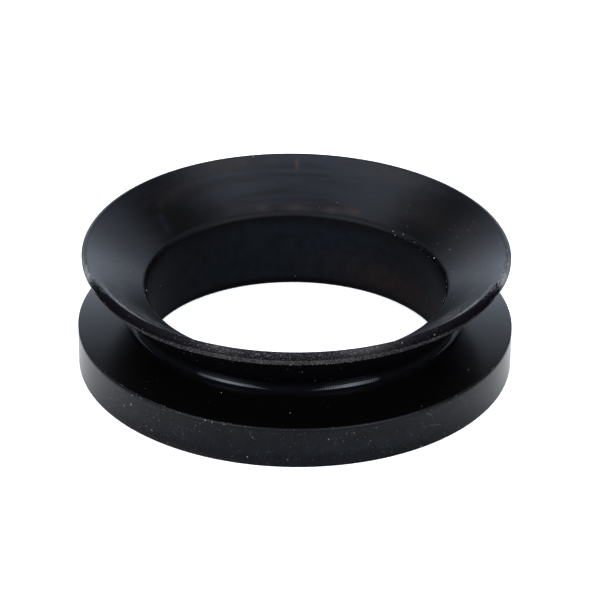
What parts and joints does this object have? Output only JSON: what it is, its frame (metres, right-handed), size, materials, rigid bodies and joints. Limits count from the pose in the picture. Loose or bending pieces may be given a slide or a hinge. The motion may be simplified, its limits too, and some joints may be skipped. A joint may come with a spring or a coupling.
{
  "type": "v-ring",
  "caption": "Rubber v-ring shaft seal: a flat-backed body that grips the shaft by its bore, a thin hinge and a flared lip that runs against a face.",
  "frame": {"origin": "centre of the flat back face", "axes": "+Z along the axis of the bore, from the back face towards the lip"},
  "size_m": [0.026, 0.026, 0.0073],
  "materials": {
    "rubber": "moulded, satin"
  },
  "bodies": {
    "root": {"v_ring": "rubber"}
  },
  "joints": []
}
